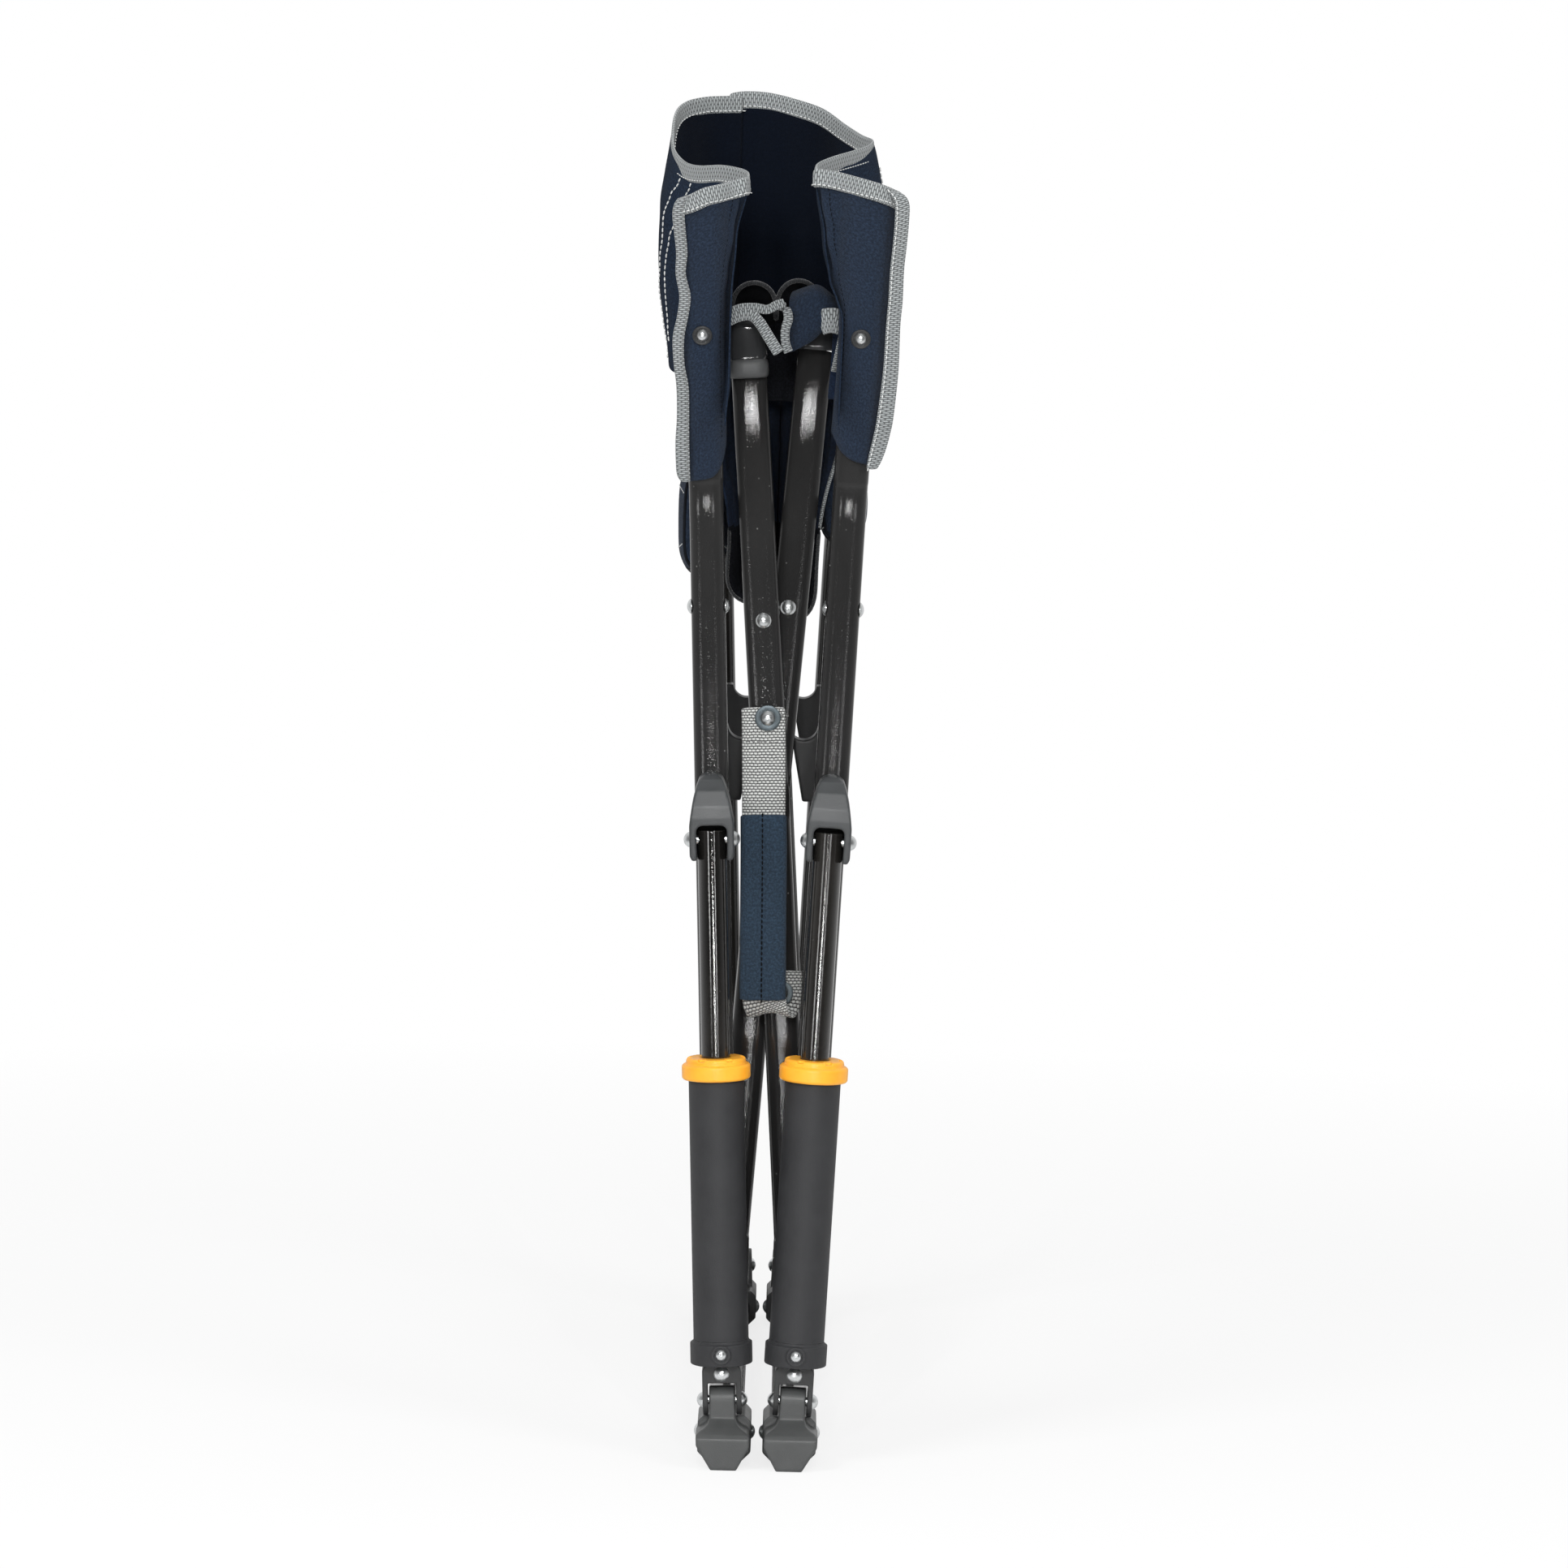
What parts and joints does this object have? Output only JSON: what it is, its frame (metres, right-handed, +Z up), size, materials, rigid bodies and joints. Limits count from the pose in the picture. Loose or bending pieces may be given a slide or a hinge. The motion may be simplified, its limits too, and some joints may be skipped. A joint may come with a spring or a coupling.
{
  "type": "folding camp chair",
  "caption": "Folding rocking camp chair with a fabric seat and back, padded arms, crossed bars and two rear pistons, shown folded upright.",
  "frame": {"origin": "on the floor under the middle of the folded chair", "axes": "+X to the sitter's right, +Y to the chair's front, +Z up"},
  "size_m": [0.1536, 0.579, 0.878],
  "materials": {
    "black_frame": "satin black powder coat",
    "gloss_black": "gloss black",
    "dark_plastic": "moulded dark grey plastic",
    "cylinder_shell": "matte dark grey",
    "orange_plastic": "semi-gloss orange-yellow",
    "navy_fabric": "woven navy polyester",
    "grey_webbing": "woven grey webbing",
    "steel_fastener": "zinc plated"
  },
  "bodies": {
    "base_left": {"base_rail_left": "black_frame", "rear_foot_left": "dark_plastic", "front_foot_left": "dark_plastic", "foot_screws_left": "steel_fastener"},
    "side_left": {"back_post_left": "black_frame", "arm_tube_left": "black_frame", "side_rail_left": "black_frame", "seat_bar_left": "black_frame", "cross_lugs_left": "black_frame", "seat_saddles_left": "dark_plastic", "arm_pad_left": "navy_fabric", "piston_bracket_left": "dark_plastic", "back_sleeve_left": "navy_fabric", "side_bolts_left": "steel_fastener"},
    "cylinder_left": {"clevis_left": "black_frame", "bottom_cap_left": "dark_plastic", "cylinder_left": "cylinder_shell", "collar_left": "orange_plastic", "piston_screws_left": "steel_fastener"},
    "rod_left": {"piston_rod_left": "gloss_black", "piston_head_left": "dark_plastic", "spring_left": "steel_fastener"},
    "cross_b": {"rear_bar_b": "black_frame", "front_bar_b": "black_frame", "seat_rail_b": "black_frame", "corner_caps_b": "dark_plastic", "bar_rivets_b": "steel_fastener", "seat_sling_b": "navy_fabric"},
    "cross_a": {"rear_bar_a": "black_frame", "front_bar_a": "black_frame", "seat_rail_a": "black_frame", "corner_caps_a": "dark_plastic", "bar_rivets_a": "steel_fastener", "seat_sling_a": "navy_fabric", "carry_strap": "grey_webbing", "strap_wrap": "navy_fabric"},
    "side_right": {"back_post_right": "black_frame", "arm_tube_right": "black_frame", "side_rail_right": "black_frame", "seat_bar_right": "black_frame", "cross_lugs_right": "black_frame", "seat_saddles_right": "dark_plastic", "arm_pad_right": "navy_fabric", "piston_bracket_right": "dark_plastic", "back_sleeve_right": "navy_fabric", "side_bolts_right": "steel_fastener"},
    "base_right": {"base_rail_right": "black_frame", "rear_foot_right": "dark_plastic", "front_foot_right": "dark_plastic", "foot_screws_right": "steel_fastener"},
    "cylinder_right": {"clevis_right": "black_frame", "bottom_cap_right": "dark_plastic", "cylinder_right": "cylinder_shell", "collar_right": "orange_plastic", "piston_screws_right": "steel_fastener"},
    "rod_right": {"piston_rod_right": "gloss_black", "piston_head_right": "dark_plastic", "spring_right": "steel_fastener"},
    "back_left": {"back_panel_left": "navy_fabric"},
    "back_right": {"back_panel_right": "navy_fabric"}
  },
  "joints": [
    {"name": "rock", "type": "hinge", "parent": "base_left", "child": "side_left", "pos_m": [-0.02261, 0.2675, 0.03997], "axis": [0.9992, 0, 0.0401], "range_deg": [0, 6], "stiffness_Nm_per_rad": 300, "springref_deg": -5.73},
    {"name": "fold", "type": "hinge", "parent": "side_left", "child": "cross_b", "pos_m": [-0.02, -0.2025, 0.135], "axis": [0, 1, 0], "range_deg": [0, 51.5]},
    {"name": "centre_pivot", "type": "hinge", "parent": "cross_b", "child": "cross_a", "pos_m": [0, -0.2155, 0.4295], "axis": [0, 1, 0], "range_deg": [-104, 1]},
    {"name": "right_pivot", "type": "hinge", "parent": "cross_a", "child": "side_right", "pos_m": [0.02, -0.2155, 0.135], "axis": [0, 1, 0], "range_deg": [-1, 52.5]},
    {"name": "rock_right", "type": "hinge", "parent": "side_right", "child": "base_right", "pos_m": [0.02261, 0.2675, 0.03997], "axis": [0.9992, 0, -0.0401], "range_deg": [-6.5, 0.5]},
    {"name": "knuckle_left", "type": "hinge", "parent": "base_left", "child": "cylinder_left", "pos_m": [-0.02269, -0.2655, 0.04197], "axis": [0.9992, 0, 0.0401], "range_deg": [-0.5, 6.98]},
    {"name": "knuckle_right", "type": "hinge", "parent": "base_right", "child": "cylinder_right", "pos_m": [0.02269, -0.2655, 0.04197], "axis": [0.9992, 0, -0.0401], "range_deg": [-0.5, 6.98]},
    {"name": "rod_slide_left", "type": "slide", "parent": "cylinder_left", "child": "rod_left", "axis": [0.0401, 0, -0.9992], "range_m": [-0.001, 0.05782], "deforming": ["spring_left"]},
    {"name": "rod_slide_right", "type": "slide", "parent": "cylinder_right", "child": "rod_right", "axis": [-0.0401, 0, -0.9992], "range_m": [-0.001, 0.05782], "deforming": ["spring_right"]},
    {"name": "back_spread_left", "type": "slide", "parent": "side_left", "child": "back_left", "axis": [0.8183, -0.5506, -0.1652], "range_m": [-0.001, 0.27344]},
    {"name": "back_spread_right", "type": "slide", "parent": "side_right", "child": "back_right", "axis": [-0.8183, -0.5506, -0.1652], "range_m": [-0.001, 0.27344]}
  ],
  "couplings": [
    {"joint": "centre_pivot", "follows": "fold", "ratio": -2},
    {"joint": "right_pivot", "follows": "fold", "ratio": 1},
    {"joint": "back_spread_left", "follows": "fold", "m_per_rad": 0.3031},
    {"joint": "back_spread_right", "follows": "fold", "m_per_rad": 0.3031},
    {"joint": "rock_right", "follows": "rock", "ratio": -1},
    {"joint": "knuckle_left", "follows": "rock", "ratio": 1.08},
    {"joint": "knuckle_right", "follows": "rock", "ratio": 1.08},
    {"joint": "rod_slide_left", "follows": "rock", "m_per_rad": 0.533},
    {"joint": "rod_slide_right", "follows": "rock", "m_per_rad": 0.533}
  ]
}
